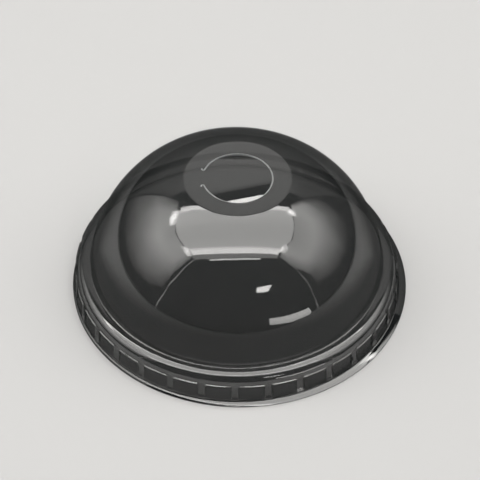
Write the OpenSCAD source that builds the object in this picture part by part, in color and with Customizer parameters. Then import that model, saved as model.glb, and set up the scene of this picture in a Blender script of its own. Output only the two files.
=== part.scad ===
// Clear dome lid with a straw flap, formed from one thin plastic sheet for a cold drink cup.
// The origin is the centre of the bottom lip's underside, and +Z points up through the dome.
// Half of its section is a chain of flats and bends of one thickness, each tangent to the next.

/* [Sheet] */
// Thickness of the formed sheet
wall = 0.3; // [0.2:0.05:0.4]

/* [Cup rim] */
// Outer diameter of the cup's rolled rim, which the skirt closes over
cup_rim_d = 95; // [90:0.5:98]
// Radial clearance between the rolled rim and the skirt
rim_clearance = 0.3; // [0.05:0.05:0.5]

/* [Skirt and lip] */
// Height of the flange's top above the bottom of the lip
flange_z = 9.5; // [9:0.1:12]
// Angle at which the skirt flares out towards the lip
skirt_draft = 5; // [0:0.5:8]
// Width of the flat lip around the bottom, beyond its bend
lip_w = 1.45; // [1:0.05:3]
// Radius of the bend between the skirt and the lip, on its hollow side
lip_bend_r = 0.4; // [0.2:0.1:0.8]

/* [Shoulder and flange] */
// Radius of the shoulder that turns the flange down into the skirt, on its outer side
shoulder_r = 3.1; // [2:0.1:3.2]
// Radial distance from the skirt's top to the foot of the dome
flange_w = 4.3; // [4:0.1:5.5]
// Radius of the bend between the flange and the dome, on its hollow side
foot_bend_r = 0.5; // [0.3:0.1:0.6]

/* [Dome] */
// Height of the whole lid, up to the flat land on top
lid_h = 42; // [36:1:48]
// Diameter of the circle in which the land's plane cuts the dome's sphere
land_d = 31.4; // [28:0.2:36]
// Radius of the land's rounded edge, on its outer side
land_edge_r = 1.2; // [0.6:0.1:2]

/* [Raised panels] */
// Number of raised panels around the skirt, which run down into the lip
panel_count = 32; // [20:1:34]
// Width of a panel where it leaves the skirt
panel_w = 7.6; // [4:0.2:7.8]
// Height of the panels' upper edge above the bottom of the lip
panel_top_z = 6.5; // [4:0.1:6.8]
// Distance by which a panel stands out of the skirt
panel_rise = 0.5; // [0.3:0.1:0.8]
// Run of a panel's top and sides for each millimetre of its rise
panel_slope = 0.45; // [0.2:0.05:0.7]

/* [Straw flap] */
// Diameter of the straw flap
flap_d = 20.2; // [14:0.2:24]
// Width of the cut around the flap
cut_w = 0.2; // [0.1:0.05:0.3]
// Angle of the uncut hinge that holds the flap, seen from the flap's centre
hinge_angle = 39; // [30:1:90]
// Radius of the hooks that end the cut and stop it from tearing on
hook_r = 0.45; // [0.3:0.05:0.8]

/* [Hidden] */
$fn = 180;
// Most that one step of the outline turns, on the dome and on the other bends
dome_step = 2;
bend_step = 10;
// Length by which a cutter runs past what it cuts
over = 1;
// Distance within which two points of the outline are one
same_point = 0.001;

// Direction from one point of the section to another
function heading(start, end) = atan2(end[1] - start[1], end[0] - start[0]);
function unit(angle) = [cos(angle), sin(angle)];

// The skirt's top stands one clearance and one wall around the cup's rim, at the height of the
// shoulder's centre. The shoulder touches the flange's top and the skirt's face.
skirt_top_r = cup_rim_d / 2 + rim_clearance + wall;
shoulder_z = flange_z - shoulder_r;
shoulder_x = skirt_top_r - shoulder_r / cos(skirt_draft);
shoulder_centre = [shoulder_x, shoulder_z];

// Radius of the skirt's outer face at a height
function skirt_r(z) = skirt_top_r + (shoulder_z - z) * tan(skirt_draft);

// The lip's bend touches the skirt's face and the lip's top.
lip_bend_z = wall + lip_bend_r;
lip_bend_x = skirt_r(lip_bend_z) + lip_bend_r / cos(skirt_draft);
lip_bend_centre = [lip_bend_x, lip_bend_z];
lip_r = lip_bend_x + lip_w;

// The dome's sphere passes through its foot on the flange and through the land's circle.
foot_r = skirt_top_r - flange_w;
land_r = land_d / 2;
dome_z = (lid_h * lid_h - flange_z * flange_z + land_r * land_r - foot_r * foot_r)
    / (2 * (lid_h - flange_z));
dome_r = norm([foot_r, flange_z - dome_z]);
dome_centre = [0, dome_z];

// The foot's bend touches the sphere from outside and the flange's top.
foot_bend_z = flange_z + foot_bend_r;
foot_bend_x = sqrt(pow(dome_r + foot_bend_r, 2) - pow(foot_bend_z - dome_z, 2));
foot_bend_centre = [foot_bend_x, foot_bend_z];

// The land's edge touches the sphere from inside and the land's top.
land_edge_z = lid_h - land_edge_r;
land_edge_x = sqrt(pow(dome_r - land_edge_r, 2) - pow(land_edge_z - dome_z, 2));
land_edge_centre = [land_edge_x, land_edge_z];

// The section's bends from the land outwards: centre, radius of the outer face, 1 where that face
// bulges or -1 where it is hollow, the directions at its two ends, and the most that one step turns.
dome_start = heading(dome_centre, foot_bend_centre);
dome_end = heading(dome_centre, land_edge_centre);
BENDS = [
    [land_edge_centre, land_edge_r, 1, 90, dome_end, bend_step],
    [dome_centre, dome_r, 1, dome_end, dome_start, dome_step],
    [foot_bend_centre, foot_bend_r, -1, dome_start + 180, 270, bend_step],
    [shoulder_centre, shoulder_r, 1, 90, skirt_draft, bend_step],
    [lip_bend_centre, lip_bend_r, -1, skirt_draft + 180, 270, bend_step]
];

// Points of an arc about a centre, evenly spaced and no further apart than a step
function arc(centre, radius, start, end, step) =
    let (count = ceil(abs(end - start) / step))
    [for (i = [0 : count]) centre + radius * unit(start + (end - start) * i / count)];

// The points of a list, without those that repeat the point before them
function distinct(points) =
    [for (i = [0 : len(points) - 1]) if (i == 0 || norm(points[i] - points[i - 1]) > same_point) points[i]];

// Points of the sheet's face at a depth below its outer face, from the land out to the lip
function face(depth) =
    distinct([for (b = BENDS) each arc(b[0], b[1] - b[2] * depth, b[3], b[4], b[5])]);

// Half of the lid's section: the outer face out to the lip's edge, and the inner face back again
module sheet_section() {
    inner_face = face(wall);
    last = len(inner_face) - 1;
    polygon(concat(
        [[0, lid_h]],
        face(0),
        [[lip_r, wall], [lip_r, 0]],
        [for (i = [0 : last]) inner_face[last - i]],
        [[0, lid_h - wall]]
    ));
}

// Ring of blocks on the skirt, from one distance outside its face to a larger one, and from a height up.
// Each block is a panel with its sloping top and sides moved out by the given growth.
module panel_ring(growth, near, far, low) {
    high = panel_top_z + growth;
    near_run = panel_slope * near;
    far_run = panel_slope * far;
    face_r = skirt_r(panel_top_z / 2);
    half_w = panel_w / 2 + growth;
    intersection() {
        rotate_extrude()
        polygon([
            [skirt_r(low) + near, low],
            [skirt_r(high - near_run) + near, high - near_run],
            [skirt_r(high - far_run) + far, high - far_run],
            [skirt_r(low) + far, low]
        ]);
        for (i = [0 : panel_count - 1])
            rotate([0, 0, (i + 0.5) * 360 / panel_count - 90])
            translate([0, 0, low - over])
            linear_extrude(flange_z)
            polygon([
                [face_r + near - over, half_w - near_run + panel_slope * over],
                [face_r + far + over, half_w - far_run - panel_slope * over],
                [face_r + far + over, -half_w + far_run + panel_slope * over],
                [face_r + near - over, -half_w + near_run - panel_slope * over]
            ]);
    }
}

// Cut along part of a circle in the land, from a start angle over a sweep
module land_cut(radius, start, sweep) {
    rotate([0, 0, start])
    rotate_extrude(angle = sweep)
    translate([radius - cut_w / 2, lid_h - wall - over])
    square([cut_w, wall + 2 * over]);
}

// Cut around the straw flap, which leaves its hinge on the -X side and ends in two outward hooks
module straw_cut() {
    flap_r = flap_d / 2;
    cut_end = 180 - hinge_angle / 2;
    hook_lap = 10;
    land_cut(flap_r, -cut_end, 2 * cut_end);
    for (side = [1, -1])
        rotate([0, 0, side * cut_end])
        translate([flap_r + hook_r, 0, 0])
        land_cut(hook_r, side > 0 ? -180 - hook_lap : 0, 180 + hook_lap);
}

module dome_lid() {
    side_wall = wall * norm([1, panel_slope]);
    color([0.16, 0.18, 0.18, 0.6])
    difference() {
        union() {
            rotate_extrude() sheet_section();
            panel_ring(0, -wall / 2, panel_rise, wall / 2);
        }
        panel_ring(-side_wall, -wall - over, panel_rise - wall, -over);
        straw_cut();
    }
}

dome_lid();
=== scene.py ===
"""A dome lid of thin smoke-tinted film with a straw flap, on a pale floor in soft studio light.

The lid is one closed sheet. Its outer face is a surface of revolution: rows of points follow the section
from the land out to the lip, columns of points stand around the axis, and the raised panels push the points
outwards. Its inner face lies one wall behind. The land in the middle is a flat plan of triangles, with the
cut around the straw flap left open. Lengths are in millimetres until a mesh is made, and in centimetres in
the studio.
"""
import math

import bpy
import numpy as np
from mathutils import Matrix, Vector
from mathutils.geometry import delaunay_2d_cdt


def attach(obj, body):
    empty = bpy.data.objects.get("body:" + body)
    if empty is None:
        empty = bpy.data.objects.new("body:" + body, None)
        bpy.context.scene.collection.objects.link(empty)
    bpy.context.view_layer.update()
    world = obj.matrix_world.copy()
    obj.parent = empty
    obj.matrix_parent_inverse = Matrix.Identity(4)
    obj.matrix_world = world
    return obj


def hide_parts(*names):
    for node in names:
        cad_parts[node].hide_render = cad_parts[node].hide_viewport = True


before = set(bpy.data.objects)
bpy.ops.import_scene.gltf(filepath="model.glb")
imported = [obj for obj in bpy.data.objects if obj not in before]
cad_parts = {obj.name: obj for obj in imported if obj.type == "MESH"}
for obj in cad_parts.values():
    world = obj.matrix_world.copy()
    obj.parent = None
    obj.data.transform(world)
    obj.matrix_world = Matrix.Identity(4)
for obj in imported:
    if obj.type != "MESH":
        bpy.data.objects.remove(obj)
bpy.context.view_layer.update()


# A millimetre and a centimetre in metres
MM = 0.001
CM = 0.01

# The formed sheet. Apart from the dome's arc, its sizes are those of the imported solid.
WALL = 0.3
CUP_RIM_D = 95
RIM_CLEARANCE = 0.3
FLANGE_Z = 9.5
SKIRT_DRAFT = math.radians(5)
LIP_W = 1.45
LIP_BEND_R = 0.4
SHOULDER_R = 3.1
FLANGE_W = 4.3
FOOT_BEND_R = 0.5
LID_H = 42
DOME_R = 38
LAND_R = 15.7
LAND_EDGE_R = 1.2

# The lip's top rolls over towards its edge: tilt where it leaves the bend, and radius of the roll.
# The blade that trimmed the lip stood a little off the axis, towards +X.
LIP_TILT = math.radians(12)
LIP_ROLL_R = 8
TRIM_SHIFT = 0.9

# Raised panels around the skirt, with rounded corners at their crest and at their foot
PANEL_COUNT = 32
PANEL_W = 7.6
PANEL_TOP_Z = 6.5
PANEL_RISE = 0.5
PANEL_SLOPE = 0.45
PANEL_CREST_R = 0.25
PANEL_FOOT_R = 0.2

# Height over which the pillars between the panels come out to the panels' level, just above the lip
PILLAR_FOOT_H = 1.2

# Straw flap, cut around from one hook to the other, with an uncut hinge on the -X side
FLAP_R = 10.1
CUT_W = 0.2
HINGE_ANGLE = 39
CUT_END = math.radians(180 - HINGE_ANGLE / 2)
HOOK_R = 0.45

# Width of the border along the cut in which the blade left the film pale
CUT_BORDER = 0.11

# The flap droops past a fold line, most towards the front right, and a little at its back edge
DROOP_HEADING = math.radians(-73.4)
DROOP_START = 2.8
DROOP_RATE = 0.0158
BACK_DROOP_START = 7.6
BACK_DROOP_RATE = 0.05

# Ripples that forming leaves in the film: waves around, waves down the section, height, phase
RIPPLES = (
    (3, 1.3, 0.040, 0.4),
    (5, 2.1, 0.022, 1.9),
    (8, 3.4, 0.012, 3.1),
    (13, 4.6, 0.006, 5.2),
)

# Steps of the mesh: in each bend and flat of the section, in a panel's corners and half of its face, and in
# half of the cut and one of its hooks
LAND_EDGE_STEPS = 3
DOME_STEPS = 22
FOOT_BEND_STEPS = 5
SHOULDER_STEPS = 10
LIP_BEND_STEPS = 5
LIP_ROLL_STEPS = 4
PILLAR_FOOT_STEPS = 4
PANEL_BEND_STEPS = 3
PANEL_FLAT_STEPS = 2
CUT_STEPS = 108
HOOK_STEPS = 10

# Spacing of the points on the flap, and on the rings of points around it on the land
FLAP_SPACING = 0.6
LAND_SPACING = 1.0
LAND_RINGS = (11.9, 13.1, 14.3)

# Points that are closer than this are one, and edges that turn by more than this stay sharp.
SAME_POINT = 1e-6
SHARP_TURN = math.radians(40)

# Painted shade: the share of the smoke film's reflection that a copy without any reflection takes away, so
# that
# the film renders dark there: on the panels, on the pillars between them, low on the dome and where it is
# seen edge on
PANEL_PAINTED_SHADE = 0.85
PILLAR_PAINTED_SHADE = 0.3
DOME_PAINTED_SHADE = 0.85
EDGE_ON_PAINTED_SHADE = 0.9

# Where the painted shade fades in or out. On the skirt that is by how far the film stands out from the
# skirt's cone and by its height, on the dome by its height, and seen edge on by how far it is turned from the
# eye.
PANEL_FACE = (0.76 * PANEL_RISE, 0.92 * PANEL_RISE)
PILLAR_EDGE = (0.04, 0.1)
SKIRT_FOOT = (1.4, 1.9)
SHOULDER_FOOT = (6.2, 6.8)
DOME_FOOT = (10.2, 11.5)
DOME_MIDDLE = (18.5, 25.5)
EDGE_ON = (0.44, 0.72)

# How much less light the lip lets through than the rest, and the heights between which that ends
LIP_SHADE = 0.2
LIP_TOP = (0.5, 1.4)


def rays(angles):
    """Unit vectors (cos angle, sin angle) for one angle or for many."""
    return np.stack([np.cos(angles), np.sin(angles)], axis=-1)


def heading(start, end):
    """The angle of the line from one point of the section to another."""
    return math.atan2(end[1] - start[1], end[0] - start[0])


# The direction in which a level stretch of film faces
LEVEL = math.pi / 2

# Points of the section that its bends turn about, as [radius, height]
skirt_top_r = CUP_RIM_D / 2 + RIM_CLEARANCE + WALL
shoulder_z = FLANGE_Z - SHOULDER_R
shoulder_centre = np.array([skirt_top_r - SHOULDER_R / math.cos(SKIRT_DRAFT), shoulder_z])


def skirt_r(z):
    """Radius of the skirt's outer face at a height: a cone that widens downwards from the shoulder."""
    return skirt_top_r + (shoulder_z - z) * math.tan(SKIRT_DRAFT)


# The dome's arc runs from its foot on the flange to the land's circle, about a centre a little off the axis.
dome_foot = np.array([skirt_top_r - FLANGE_W, FLANGE_Z])
half_chord = (np.array([LAND_R, LID_H]) - dome_foot) / 2
inward = np.array([-half_chord[1], half_chord[0]]) / math.hypot(*half_chord)
dome_centre = dome_foot + half_chord + math.sqrt(DOME_R**2 - half_chord @ half_chord) * inward


def beside_dome(reach, z):
    """The point at a height whose distance from the dome's centre is a reach."""
    return np.array([dome_centre[0] + math.sqrt(reach**2 - (z - dome_centre[1]) ** 2), z])


# The dome's start and end are the directions in which it faces where the foot's bend and the land's edge
# touch it.
foot_bend_centre = beside_dome(DOME_R + FOOT_BEND_R, FLANGE_Z + FOOT_BEND_R)
land_edge_centre = beside_dome(DOME_R - LAND_EDGE_R, LID_H - LAND_EDGE_R)
dome_start = heading(dome_centre, foot_bend_centre)
dome_end = heading(dome_centre, land_edge_centre)

# The lip's roll ends at its edge, one wall above the floor, and the lip's bend meets the start of the roll.
# The directions in which it faces there are its start and its end.
lip_bend_r = skirt_r(WALL + LIP_BEND_R) + LIP_BEND_R / math.cos(SKIRT_DRAFT)
lip_r = lip_bend_r + LIP_W
lip_start_r = lip_bend_r - LIP_BEND_R * math.sin(LIP_TILT)
lip_start = LEVEL - LIP_TILT
lip_end = math.acos(math.cos(lip_start) + (lip_r - lip_start_r) / LIP_ROLL_R)
lip_roll_centre = np.array([lip_r, WALL]) - LIP_ROLL_R * rays(lip_end)
lip_bend_z = lip_roll_centre[1] + (LIP_ROLL_R + LIP_BEND_R) * math.cos(LIP_TILT)
lip_bend_centre = np.array([lip_bend_r, lip_bend_z])

# The skirt's face runs down from its touch with the shoulder to its touch with the lip's bend.
skirt_end_z = lip_bend_z - LIP_BEND_R * math.sin(SKIRT_DRAFT)
skirt_length = (shoulder_z + SHOULDER_R * math.sin(SKIRT_DRAFT) - skirt_end_z) / math.cos(SKIRT_DRAFT)


def bend(centre, radius, start, end, steps):
    """Places and outward normals along a round bend: centre + radius * ray(a) and ray(a), for evenly spaced
    directions a that the film faces, from start to end. The radius is negative where the bend is hollow."""
    normals = rays(np.linspace(start, end, steps + 1))
    return centre + radius * normals, normals


def panel_side(half_size):
    """Half of a panel's section, from its middle out: places across it, and heights as shares of its rise.
    The face is flat, the side slopes down to the skirt, and an arc rounds each of the two corners."""
    turn = math.atan(1 / PANEL_SLOPE)
    angles = np.linspace(0, turn, PANEL_BEND_STEPS + 1)
    crest_end = half_size - PANEL_SLOPE * PANEL_RISE - PANEL_CREST_R * math.tan(turn / 2)
    foot_end = half_size + PANEL_FOOT_R * math.tan(turn / 2)
    places = np.concatenate([
        np.linspace(0, crest_end, PANEL_FLAT_STEPS, endpoint=False),
        crest_end + PANEL_CREST_R * np.sin(angles),
        foot_end - PANEL_FOOT_R * np.sin(angles[::-1]),
    ])
    heights = np.concatenate([
        np.full(PANEL_FLAT_STEPS, PANEL_RISE),
        PANEL_RISE - PANEL_CREST_R * (1 - np.cos(angles)),
        PANEL_FOOT_R * (1 - np.cos(angles[::-1])),
    ])
    return places, heights / PANEL_RISE


def columns():
    """Angles of the columns of points around the lid, and how far the panels stand out there, from 0 to 1.
    Each panel has the same places: its left side, its face, its right side and the pillar beside it."""
    side, share = panel_side(PANEL_W / 2)
    middle_r = skirt_r(PANEL_TOP_Z / 2)
    pitch = 2 * math.pi / PANEL_COUNT
    places = np.concatenate([-side[:0:-1] / middle_r, side / middle_r, [pitch / 2]])
    shares = np.concatenate([share[:0:-1], share, [0]])
    middles = (np.arange(PANEL_COUNT) + 0.5) * pitch - math.pi / 2
    return (middles[:, None] + places).ravel(), np.tile(shares, PANEL_COUNT)


def skirt_at(lengths):
    """Places and outward normals of the film at lengths up the section from the skirt's lower end: on the
    skirt's cone at first, and past its top on the shoulder's arc."""
    normals = rays(SKIRT_DRAFT + np.clip(lengths - skirt_length, 0, None) / SHOULDER_R)
    down_skirt = np.array([math.sin(SKIRT_DRAFT), -math.cos(SKIRT_DRAFT)])
    below = np.clip(skirt_length - lengths, 0, None)
    return shoulder_centre + SHOULDER_R * normals + np.outer(below, down_skirt), normals


def section():
    """The outer face's rows of points, from the land's edge to the lip, in stretches that each run on from
    the one before without a corner. Each row has its place [radius, height], its outward normal, how far the
    panels stand out there, how far the pillars' feet fill the gaps between the panels, and how far across
    the lip it lies. The last three go from 0 to 1."""
    side, panel = panel_side((PANEL_TOP_Z - skirt_end_z) / math.cos(SKIRT_DRAFT))
    foot = np.linspace(0, PILLAR_FOOT_H, PILLAR_FOOT_STEPS + 1)
    lengths = np.concatenate([foot, side[1:]])
    panel = np.concatenate([np.ones(len(foot)), panel[1:]])
    fill = np.concatenate([(1 + np.cos(math.pi * foot / PILLAR_FOOT_H)) / 2, np.zeros(len(side) - 1)])
    skirt = skirt_at(lengths[::-1])
    skirt_start = heading((0, 0), skirt[1][0])
    across = np.linspace(0, 1, LIP_ROLL_STEPS + 1)
    stretches = [
        (bend(land_edge_centre, LAND_EDGE_R, LEVEL, dome_end, LAND_EDGE_STEPS), 0, 0, 0),
        (bend(dome_centre, DOME_R, dome_end, dome_start, DOME_STEPS), 0, 0, 0),
        (bend(foot_bend_centre, -FOOT_BEND_R, dome_start, LEVEL, FOOT_BEND_STEPS), 0, 0, 0),
        (bend(shoulder_centre, SHOULDER_R, LEVEL, skirt_start, SHOULDER_STEPS), 0, 0, 0),
        (skirt, panel[::-1], fill[::-1], 0),
        (bend(lip_bend_centre, -LIP_BEND_R, SKIRT_DRAFT, lip_start, LIP_BEND_STEPS), 1, 1, 0),
        (bend(lip_roll_centre, LIP_ROLL_R, lip_start, lip_end, LIP_ROLL_STEPS), 1 - across, 1, across),
    ]
    rows = np.concatenate([
        np.column_stack([places, normals, *(np.broadcast_to(share, len(places)) for share in shares)])
        for (places, normals), *shares in stretches
    ])
    steps = np.linalg.norm(np.diff(rows[:, :2], axis=0), axis=1)
    fresh = np.concatenate([[True], steps > SAME_POINT])
    # A row holds two numbers for its place, two for its normal, and one for each of the three shares.
    return np.split(rows[fresh], [2, 4, 5, 6], axis=1)


def ripple(along, angles):
    """Height of the forming ripples, row by column: a sum of waves around times waves down the section, each
    height * sin(around * angle + phase) * sin(down * pi * along + phase), which fade out at the land and at
    the lip as sin(pi * along)."""
    waves = [
        height * np.sin(around * angles + phase) * np.sin(down * math.pi * along + phase)
        for around, down, height, phase in RIPPLES
    ]
    return sum(waves) * np.sin(math.pi * along)


def grid_normals(points):
    """Unit normals of a grid of points that closes around: the slope down the rows times the slope around."""
    down = np.gradient(points, axis=0)
    around = np.roll(points, -1, axis=1) - np.roll(points, 1, axis=1)
    normals = np.cross(down, around)
    return normals / np.linalg.norm(normals, axis=2, keepdims=True)


def sheet_faces():
    """The outer and the inner face of the sheet outside the land, each a grid of points, row by column.
    The section is turned around the axis and rippled along its normals. The panels push it outwards by their
    rise * row's share * column's share, where a fill brings the columns beside the panels up to them, and the
    trim shifts the lip by shift * cos(angle) * share of the way across."""
    places, normals, row_share, fill, across = section()
    angles, column_share = columns()
    steps = np.linalg.norm(np.diff(places, axis=0), axis=1)
    along = np.concatenate([[0], np.cumsum(steps)])[:, None] / steps.sum()
    waves = ripple(along, angles)
    panels = PANEL_RISE * row_share * (column_share + fill * (1 - column_share))
    trim = TRIM_SHIFT * across * np.cos(angles)
    radii = places[:, :1] + normals[:, :1] * waves + panels + trim
    heights = places[:, 1:] + normals[:, 1:] * waves
    outer = np.stack([radii * np.cos(angles), radii * np.sin(angles), heights], axis=2)
    outward = grid_normals(outer)
    outward[[0, -1]] = (0, 0, 1)
    return outer, outer - WALL * outward


def cut_outline(half_cut, turn_end):
    """Plan of the cut around the flap, as one closed loop that runs anticlockwise. Its middle line is an arc
    about the lid's axis whose ends turn outwards in round hooks, up to turn_end, and its two sides lie half
    a cut to each side. Half of the loop is worked out, and the other half mirrors it across the X axis."""
    ray = rays(CUT_END)
    onward = np.array([-ray[1], ray[0]])
    arc_rays = rays(np.linspace(0, CUT_END, CUT_STEPS + 1))
    turn = np.linspace(0, turn_end, HOOK_STEPS + 1)[1:]
    hook_rays = np.outer(np.sin(turn), onward) - np.outer(np.cos(turn), ray)
    hook_centre = (FLAP_R + HOOK_R) * ray
    halves = [
        np.concatenate([(FLAP_R + aside) * arc_rays, hook_centre + (HOOK_R - aside) * hook_rays])
        for aside in (half_cut, -half_cut)
    ]
    outer, inner = (np.concatenate([half[:0:-1] * (1, -1), half]) for half in halves)
    return np.concatenate([outer, inner[::-1]])


def inside(points, loop):
    """Whether each point lies in a closed loop: a line from it to the right crosses the loop an odd number of
    times."""
    start, end = loop, np.roll(loop, -1, axis=0)
    x, y = points[:, :1], points[:, 1:]
    spans = (start[:, 1] > y) != (end[:, 1] > y)
    rise = np.where(end[:, 1] == start[:, 1], 1, end[:, 1] - start[:, 1])
    crossing = start[:, 0] + (y - start[:, 1]) * (end[:, 0] - start[:, 0]) / rise
    return (spans & (x < crossing)).sum(axis=1) % 2 == 1


def rings(radii, spacing):
    """Plan points on rings about the axis, evenly spaced on each ring, with every other ring turned by half
    of its spacing."""
    points = []
    for index, radius in enumerate(radii):
        count = max(1, round(2 * math.pi * radius / spacing))
        turns = (np.arange(count) + index % 2 / 2) * 2 * math.pi / count
        points.append(radius * rays(turns))
    return np.concatenate(points)


def land_height(plan):
    """Height of the land's top over a plan. The flap droops by rate * distance ** 2 past two fold lines, of
    which one lies towards the front right and the other towards the back."""
    front = np.clip(plan @ rays(DROOP_HEADING) - DROOP_START, 0, None)
    back = np.clip(plan[:, 1] - BACK_DROOP_START, 0, None)
    droop = DROOP_RATE * front**2 + BACK_DROOP_RATE * back**2
    on_flap = np.linalg.norm(plan, axis=1) < FLAP_R
    return LID_H - np.where(on_flap, droop, 0)


def land_plan(rim):
    """Triangles of the land in plan: its points, with the rim first and the cut's outline next, its faces,
    which of them lie in the cut's border, and the outline's numbers among the points. A Delaunay
    triangulation joins the points, and the faces that lie in the cut are left out."""
    loop = cut_outline(CUT_W / 2, math.pi)
    border = cut_outline(CUT_W / 2 + CUT_BORDER, math.pi + CUT_BORDER / HOOK_R)
    flap = rings(np.arange(0, FLAP_R - FLAP_SPACING, FLAP_SPACING), FLAP_SPACING)
    land = rings(LAND_RINGS, LAND_SPACING)
    plan = np.concatenate([rim, loop, border, flap, land])
    starts = np.cumsum([0, len(rim), len(loop), len(border)])
    edges = []
    for first, last in zip(starts[:-1], starts[1:]):
        numbers = np.arange(first, last)
        edges += np.column_stack([numbers, np.roll(numbers, -1)]).tolist()
    faces = np.array(delaunay_2d_cdt(plan.tolist(), edges, [], 0, SAME_POINT, False)[2])
    faces = faces[~inside(plan[faces].mean(axis=1), loop)]
    in_border = inside(plan[faces].mean(axis=1), border)
    return plan, faces, in_border, np.arange(starts[1], starts[2])


def ring_quads(upper, lower):
    """Four-sided faces between two closed rows of points, given by their numbers, with upper's side first."""
    quads = np.stack([upper, lower, np.roll(lower, -1, axis=-1), np.roll(upper, -1, axis=-1)], axis=-1)
    return quads.reshape(-1, 4)


def put_in_scene(name, data):
    """A new object at the origin for a mesh or a camera."""
    made = bpy.data.objects.new(name, data)
    bpy.context.scene.collection.objects.link(made)
    return made


def smooth_mesh(name, points, patches, materials):
    """A mesh from points in millimetres and from patches of faces, each with its own material."""
    mesh = bpy.data.meshes.new(name)
    mesh.from_pydata((points * MM).tolist(), [], sum((faces.tolist() for faces, _ in patches), []))
    for material in materials:
        mesh.materials.append(material)
    slots = np.concatenate([np.full(len(faces), materials.index(material)) for faces, material in patches])
    mesh.polygons.foreach_set("material_index", slots)
    mesh.polygons.foreach_set("use_smooth", np.ones(len(slots), bool))
    mesh.set_sharp_from_angle(angle=SHARP_TURN)
    mesh.validate()
    return mesh


def dome_lid(film, trimmed):
    """The whole lid as one closed sheet: its outer and inner faces, the land's top and underside, which share
    their rim with those, the edge of the lip, and the sides of the cut. The sides of the cut and the border
    along it are trimmed film."""
    outer, inner = sheet_faces()
    rows, around = outer.shape[:2]
    plan, triangles, in_border, loop = land_plan(outer[0, :, :2])
    top = np.column_stack([plan, land_height(plan)])
    under = top - (0, 0, WALL)
    points = np.concatenate([outer.reshape(-1, 3), inner.reshape(-1, 3), top[around:], under[around:]])
    outer_rows = np.arange(rows * around).reshape(rows, around)
    inner_rows = outer_rows + rows * around
    within = 2 * rows * around + np.arange(len(plan) - around)
    top_numbers = np.concatenate([outer_rows[0], within])
    under_numbers = np.concatenate([inner_rows[0], within + len(within)])
    patches = [
        (ring_quads(outer_rows[:-1], outer_rows[1:]), film),
        (ring_quads(inner_rows[:-1], inner_rows[1:])[:, ::-1], film),
        (top_numbers[triangles[~in_border]], film),
        (top_numbers[triangles[in_border]], trimmed),
        (under_numbers[triangles][:, ::-1], film),
        (ring_quads(outer_rows[-1], inner_rows[-1]), film),
        (ring_quads(top_numbers[loop], under_numbers[loop])[:, ::-1], trimmed),
    ]
    return put_in_scene("lid_sheet", smooth_mesh("lid_sheet", points, patches, [film, trimmed]))


class Number:
    """A number in a material's nodes. Sums, differences and products of such numbers add Math nodes."""

    def __init__(self, finish, socket):
        self.finish = finish
        self.socket = socket

    def __add__(self, other):
        return self.finish.maths("ADD", self, other)

    def __sub__(self, other):
        return self.finish.maths("SUBTRACT", self, other)

    def __rsub__(self, other):
        return self.finish.maths("SUBTRACT", other, self)

    def __mul__(self, other):
        return self.finish.maths("MULTIPLY", self, other)

    def __pow__(self, other):
        return self.finish.maths("POWER", self, other)

    def at_least(self, other):
        """This number or another, whichever is larger."""
        return self.finish.maths("MAXIMUM", self, other)

    __radd__ = __add__
    __rmul__ = __mul__


class Finish:
    """A material, and the nodes that it is built from."""

    def __init__(self, name):
        self.material = bpy.data.materials.new(name)
        self.material.use_nodes = True
        self.tree = self.material.node_tree
        self.tree.nodes.clear()

    def node(self, kind, settings, sockets):
        """A new node of a kind, with its settings made first and then its sockets set or linked."""
        made = self.tree.nodes.new(kind)
        for name, value in settings.items():
            setattr(made, name, value)
        for name, value in sockets.items():
            if isinstance(value, Number):
                value = value.socket
            if isinstance(value, bpy.types.NodeSocket):
                self.tree.links.new(value, made.inputs[name])
            else:
                made.inputs[name].default_value = value
        return made

    def maths(self, operation, first, second):
        """The result of a Math node."""
        made = self.node("ShaderNodeMath", {"operation": operation}, {0: first, 1: second})
        return Number(self, made.outputs[0])

    def place(self):
        """The point's place on the object, in metres."""
        return self.node("ShaderNodeTexCoord", {}, {}).outputs["Object"]

    def reach_and_height(self):
        """How far the point lies from the axis, sqrt(x^2 + y^2), and its height z, in millimetres."""
        parts = self.node("ShaderNodeSeparateXYZ", {}, {"Vector": self.place()}).outputs
        x, y, z = (Number(self, part) * (1 / MM) for part in parts)
        return (x * x + y * y) ** 0.5, z

    def noise(self, wavelength, detail):
        """A noise from 0 to 1 with patches of about one wavelength, in millimetres."""
        sockets = {"Vector": self.place(), "Scale": 1 / (wavelength * MM), "Detail": detail}
        return Number(self, self.node("ShaderNodeTexNoise", {}, sockets).outputs["Fac"])

    def rise(self, value, start, end):
        """A smooth rise from 0 to 1 as the value goes from start to end."""
        settings = {"interpolation_type": "SMOOTHSTEP"}
        made = self.node("ShaderNodeMapRange", settings, {"Value": value, "From Min": start, "From Max": end})
        return Number(self, made.outputs["Result"])

    def blend(self, factor, first, second):
        """A colour between two others. A Mix node has its colours in inputs 6 and 7 and in output 2."""
        sockets = {0: factor, 6: first, 7: second}
        return self.node("ShaderNodeMix", {"data_type": "RGBA"}, sockets).outputs[2]

    def bump(self, height, distance):
        """A normal tilted by a height map whose full range is a distance in millimetres."""
        sockets = {"Height": height, "Distance": distance * MM}
        return self.node("ShaderNodeBump", {}, sockets).outputs["Normal"]

    def turned_away(self):
        """How far the surface is turned from the eye: 0 where it faces it, and 1 where it is seen edge on."""
        return Number(self, self.node("ShaderNodeLayerWeight", {}, {"Blend": 0.5}).outputs["Facing"])

    def shader(self, sockets):
        """A Principled surface with these sockets."""
        return self.node("ShaderNodeBsdfPrincipled", {}, sockets).outputs[0]

    def end(self, shader):
        """Ends the material in a shader, and returns the material."""
        self.node("ShaderNodeOutputMaterial", {}, {"Surface": shader})
        return self.material

    def surface(self, sockets):
        """Ends the material in one Principled surface, and returns the material."""
        return self.end(self.shader(sockets))

    def mixed(self, factor, first, second):
        """Ends the material in a mixture of two shaders, and returns the material."""
        return self.end(self.node("ShaderNodeMixShader", {}, {0: factor, 1: first, 2: second}).outputs[0])


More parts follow.
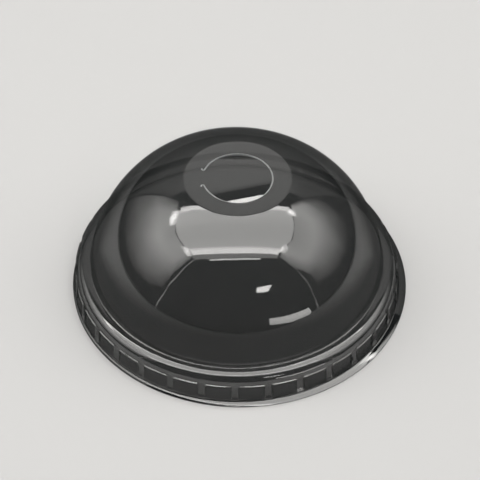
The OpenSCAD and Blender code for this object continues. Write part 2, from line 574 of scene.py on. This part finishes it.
def painted_shade_share(finish, reach, height):
    """How much painted shade there is at a reach and a height, from 0 to 1: the share of the film's
    reflection that is taken away there, the most that the edge-on view, the skirt or the low part of the dome
    asks for.
    On the skirt it depends on how far the film stands out from the skirt's cone, which tells the panels'
    faces from the pillars between them."""
    stand_out = reach - skirt_r(height)
    panel = finish.rise(stand_out, *PANEL_FACE)
    pillar = (1 - finish.rise(stand_out, *PILLAR_EDGE)) * (1 - finish.rise(height, *SHOULDER_FOOT))
    skirt = finish.rise(height, *SKIRT_FOOT) * (PANEL_PAINTED_SHADE * panel + PILLAR_PAINTED_SHADE * pillar)
    dome = DOME_PAINTED_SHADE * finish.rise(height, *DOME_FOOT) * (1 - finish.rise(height, *DOME_MIDDLE))
    edge_on_shade = EDGE_ON_PAINTED_SHADE * finish.rise(finish.turned_away(), *EDGE_ON)
    return edge_on_shade.at_least(skirt).at_least(dome)


def smoke_film_with_painted_shade():
    """Thin glossy film that lets a little under half of the light through each face, with faint finger marks,
    slow changes of shade where forming stretched it, and a fine unevenness in its gloss. It is darker at the
    lip, where it wasn't stretched. Painted shade: a copy of the same colour without any reflection takes its
    place on the panels, the pillars, low on the dome and where the film is seen edge on, so those places
    render dark."""
    finish = Finish("smoke_film_with_painted_shade")
    reach, height = finish.reach_and_height()
    stretch = finish.noise(wavelength=22, detail=1)
    marks = finish.rise(finish.noise(wavelength=11, detail=3), start=0.5, end=0.75)
    peel = finish.noise(wavelength=1.6, detail=2)
    lip = 1 - finish.rise(height, *LIP_TOP)
    sockets = {
        "Base Color": finish.blend(stretch, (0.004, 0.005, 0.005, 1), (0.007, 0.009, 0.009, 1)),
        "Roughness": 0.03 + 0.05 * marks,
        "Alpha": 0.57 + 0.05 * stretch + LIP_SHADE * lip,
        "Normal": finish.bump(peel, distance=0.0007),
        "IOR": 1.65,
    }
    glossy = finish.shader({**sockets, "Specular IOR Level": 1.0})
    # Painted shade: the same film with no reflection at all, mixed in where the film should render dark.
    painted_shade_copy = finish.shader({**sockets, "Specular IOR Level": 0.0})
    return finish.mixed(painted_shade_share(finish, reach, height), glossy, painted_shade_copy)


def trimmed_edge():
    """The film in and along the flap's cut, which is rougher and paler than the rest."""
    finish = Finish("trimmed_edge")
    grain = finish.noise(wavelength=0.9, detail=2)
    return finish.surface({
        "Base Color": finish.blend(grain, (0.22, 0.23, 0.23, 1), (0.42, 0.43, 0.43, 1)),
        "Roughness": 0.4 + 0.2 * grain,
        "Alpha": 0.85,
        "IOR": 1.575,
    })


# The studio. The lid stands in a tent that is open at the front, and the camera looks in from there.
FLOOR_R = 400
FLOOR_SIDES = 96
LAMP_TINT = (1, 0.985, 0.96)
ROOM = (0.04, 0.04, 0.04, 1)

# The camera of the photograph: its height as an angle seen from the point that it looks at, how far it leans
# over, its distance from that point, the point itself, and its lens and sensor, all lengths in millimetres
CAMERA_HEIGHT = math.radians(45.49)
CAMERA_ROLL = math.radians(0.73)
CAMERA_DISTANCE = 535.2
CAMERA_TARGET = (0.9, 0, 16.55)
CAMERA_LENS = 135
CAMERA_SENSOR = 36

# The tent's panels of light, each a grid of points in rows. A point's brightness comes after its place.
TENT = {
    # The roof and the two side walls
    "roof": (
        ((-58, 43, 94, 6.4), (50, 44, 94, 6.4)),
        ((-62, 36, 94, 6.4), (54, 38, 94, 6.4)),
        ((-64, 34, 94, 3.7), (55, 36, 94, 3.7)),
        ((-72, 20, 94, 3.7), (62, 24, 94, 3.4)),
        ((-75, 7, 94, 3.2), (65, 11, 94, 3.1)),
        ((-71, -11, 94, 3.1), (66, -8, 94, 3.1)),
        ((-64, -23, 94, 3.4), (58, -21, 94, 3.5)),
        ((-59, -27, 94, 6.4), (55, -25, 94, 6.4)),
        ((-60, -34, 94, 6.6), (54, -32, 94, 6.6)),
        ((-60, -35, 94, 1.4), (55, -33, 94, 1.4)),
        ((-58, -43, 94, 1.2), (55, -40, 94, 1.2)),
    ),
    "left_wall": (
        ((-95, 88, 145, 0.4), (-95, 86, 75, 0.9), (-95, 85, 30, 0.4), (-95, 85, 8, 0.1)),
        ((-67, 37, 94, 2.4), (-93, 52, 80, 2.2), (-95, 54, 40, 0.8), (-95, 55, 14, 0.1)),
        ((-77, 7, 94, 2.2), (-97, 12, 73, 3.0), (-95, 25, 40, 1.2), (-95, 27, 14, 0.2)),
        ((-73, -11, 94, 2.6), (-95, -10, 75, 2.8), (-95, -7, 40, 1.4), (-95, -5, 14, 0.2)),
        ((-61, -29, 94, 2.4), (-86, -36, 82, 2.4), (-95, -35, 49, 1.2), (-95, -35, 22, 0.2)),
        ((-59, -38, 92, 1.0), (-82, -50, 81, 0.8), (-93, -53, 55, 0.5), (-93, -54, 35, 0.1)),
    ),
    "right_wall": (
        ((62, 60, 110, 0.4), (90, 85, 120, 0.4), (95, 87, 95, 0.2), (95, 88, 60, 0.1)),
        ((55, 44, 94, 2.8), (86, 68, 107, 2.2), (95, 73, 89, 0.9), (95, 76, 55, 0.1)),
        ((64, 20, 94, 2.2), (92, 34, 84, 2.7), (95, 50, 54, 0.8), (95, 52, 20, 0.1)),
        ((68, -5, 94, 2.1), (93, 1, 71, 2.5), (95, 19, 38, 1.1), (95, 20, 14, 0.1)),
        ((59, -26, 94, 2.6), (86, -25, 73, 2.5), (95, -12, 43, 1.1), (95, -12, 20, 0.1)),
        ((56, -36, 92, 1.0), (80, -45, 76, 1.0), (95, -40, 54, 0.6), (95, -40, 32, 0.1)),
    ),
    # The dim wall at the back, the patch of light that hangs before it, and the strip that the flap mirrors
    "back_wall": (
        ((-100, 95, 0, 0.1), (-50, 95, 0, 0.1), (50, 95, 0, 0.1), (100, 95, 0, 0.1)),
        ((-100, 95, 40, 0.2), (-50, 95, 40, 0.2), (50, 95, 40, 0.2), (100, 95, 40, 0.2)),
        ((-100, 95, 120, 0.3), (-50, 95, 120, 0.5), (50, 95, 120, 0.5), (100, 95, 120, 0.3)),
    ),
    "back_patch": (
        ((-13, 94, 82, 1.1), (13, 94, 82, 1.1)),
        ((-13, 94, 93, 0.8), (13, 94, 93, 0.8)),
        ((-13, 94, 108, 0.6), (13, 94, 108, 0.6)),
    ),
    "flap_strip": (
        ((-8, 33, 93, 9.0), (17, 33, 93, 9.0)),
        ((-8, 46, 93, 9.0), (17, 46, 93, 9.0)),
    ),
    # The lamps under the roof's four corners, each brightest near its middle
    "left_back_spot": (
        ((-56, 36, 87, 4.0), (-63, 38, 87, 7.0), (-70, 40, 87, 3.5)),
        ((-60, 28, 87, 5.0), (-68, 29, 87, 12.0), (-77, 31, 87, 5.0)),
        ((-67, 18, 87, 4.0), (-75, 19, 87, 7.0), (-84, 20, 87, 4.0)),
    ),
    "right_back_spot": (
        ((44, 38.5, 87, 5.0), (50, 39, 87, 4.0), (56, 40, 87, 3.5)),
        ((45.5, 32, 87, 6.0), (51.5, 33.5, 87, 12.0), (58.5, 34.5, 87, 4.5)),
        ((47, 27, 87, 3.5), (54, 28.5, 87, 4.5), (61, 30, 87, 3.5)),
    ),
    "left_front_spot": (
        ((-57, -18, 87, 3.5), (-63.5, -17, 87, 4.5), (-70, -16, 87, 3.5)),
        ((-54, -24, 87, 5.0), (-60, -24.5, 87, 9.0), (-66, -25, 87, 4.0)),
        ((-52, -33, 87, 3.0), (-57.5, -33.5, 87, 5.0), (-63, -34, 87, 4.0)),
    ),
    "right_front_spot": (
        ((51, -14, 87, 4.0), (56, -14.5, 87, 4.0), (61, -15, 87, 3.4)),
        ((51, -20, 87, 11.0), (55.5, -20, 87, 6.0), (60.5, -20, 87, 4.0)),
        ((50.5, -27, 87, 5.0), (55, -27, 87, 4.0), (59.5, -27, 87, 3.5)),
    ),
    # The lamp and the low window that stand in the open front
    "lamp": (
        ((24, -74, 54, 8.0), (39, -74, 55, 8.0)),
        ((25, -74, 63, 8.0), (48, -74, 68, 7.0)),
    ),
    "window": (
        ((33, -74, 8, 5.0), (60, -74, 3, 5.5), (102, -74, 0, 5.5)),
        ((33, -74, 16, 4.0), (60, -74, 14, 4.5), (98, -74, 12, 4.5)),
    ),
    # The thin bright frame around the opening
    "frame_top": (
        ((-34, -43, 94, 5.5), (30, -41, 94, 5.5)),
        ((-34, -45.5, 94, 5.5), (30, -43.5, 94, 5.5)),
    ),
    "frame_left": (
        ((-64, -47, 103, 2.0), (-68, -47, 50, 2.0), (-76, -47, 0, 2.0)),
        ((-66, -47, 103, 2.0), (-70, -47, 50, 2.0), (-78, -47, 0, 2.0)),
    ),
    "frame_right": (
        ((75, -47, 118, 2.0), (80, -47, 79, 2.0), (83, -47, 49, 2.0), (82, -47, 0, 2.0)),
        ((77, -47, 118, 2.0), (82, -47, 78, 2.0), (85, -47, 48, 2.0), (84, -47, 0, 2.0)),
    ),
}


def studio_object(name, points, faces, material):
    """A thing of the studio, from points in centimetres, which isn't part of the lid."""
    mesh = bpy.data.meshes.new(name)
    mesh.from_pydata((points * CM).tolist(), [], faces)
    mesh.materials.append(material)
    made = put_in_scene(name, mesh)
    return made


def floor():
    """A wide, plain, pale floor, a many-sided disc that meets the lip at height nil."""
    finish = Finish("pale_floor")
    colour = {"Base Color": (0.45, 0.45, 0.45, 1)}
    material = finish.surface({**colour, "Roughness": 0.75, "Specular IOR Level": 0.2})
    spokes = rays(np.linspace(0, 2 * math.pi, FLOOR_SIDES, endpoint=False))
    rim = np.column_stack([FLOOR_R * spokes, np.zeros(FLOOR_SIDES)])
    studio_object("floor", rim, [list(range(FLOOR_SIDES))], material)


def glow():
    """A black surface that is as bright as its glow attribute says."""
    finish = Finish("glow")
    brightness = finish.node("ShaderNodeAttribute", {"attribute_name": "glow"}, {}).outputs["Color"]
    sockets = {"Base Color": (0, 0, 0, 1), "Specular IOR Level": 0, "Emission Strength": 1}
    return finish.surface({**sockets, "Emission Color": brightness})


def tent():
    """The panels of light, which show in the lid's gloss but aren't seen by themselves, in a dark room."""
    material = glow()
    for name, rows in TENT.items():
        grid = np.array(rows)
        points = grid.reshape(-1, 4)
        numbers = np.arange(len(points)).reshape(grid.shape[:2])
        cells = np.stack([numbers[:-1, :-1], numbers[1:, :-1], numbers[1:, 1:], numbers[:-1, 1:]], axis=-1)
        made = studio_object(name, points[:, :3], cells.reshape(-1, 4).tolist(), material)
        colours = np.column_stack([points[:, 3:] * LAMP_TINT, np.ones(len(points))])
        made.data.attributes.new("glow", "FLOAT_COLOR", "POINT").data.foreach_set("color", colours.ravel())
        made.visible_camera = False
    world = bpy.data.worlds.new("studio")
    world.use_nodes = True
    world.node_tree.nodes["Background"].inputs["Color"].default_value = ROOM
    bpy.context.scene.world = world


def camera():
    """The camera, which looks along +Y and down at its target, and leans over by the roll."""
    back = Vector((0, -math.cos(CAMERA_HEIGHT), math.sin(CAMERA_HEIGHT)))
    right = Vector((1, 0, 0))
    up = back.cross(right)
    x = math.cos(CAMERA_ROLL) * right + math.sin(CAMERA_ROLL) * up
    y = math.cos(CAMERA_ROLL) * up - math.sin(CAMERA_ROLL) * right
    data = bpy.data.cameras.new("camera")
    data.sensor_width = CAMERA_SENSOR
    data.lens = CAMERA_LENS
    made = put_in_scene("camera", data)
    place = Matrix.Translation((Vector(CAMERA_TARGET) + CAMERA_DISTANCE * back) * MM)
    made.matrix_world = place @ Matrix((x, y, back)).transposed().to_4x4()
    bpy.context.scene.camera = made


lid = dome_lid(smoke_film_with_painted_shade(), trimmed_edge())
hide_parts("dome_lid")
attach(lid, "root")
floor()
tent()
camera()
bpy.context.scene.view_settings.view_transform = "Standard"

# A line of sight that grazes the lid passes through the faces of its film many times.
bpy.context.scene.cycles.transparent_max_bounces = 32
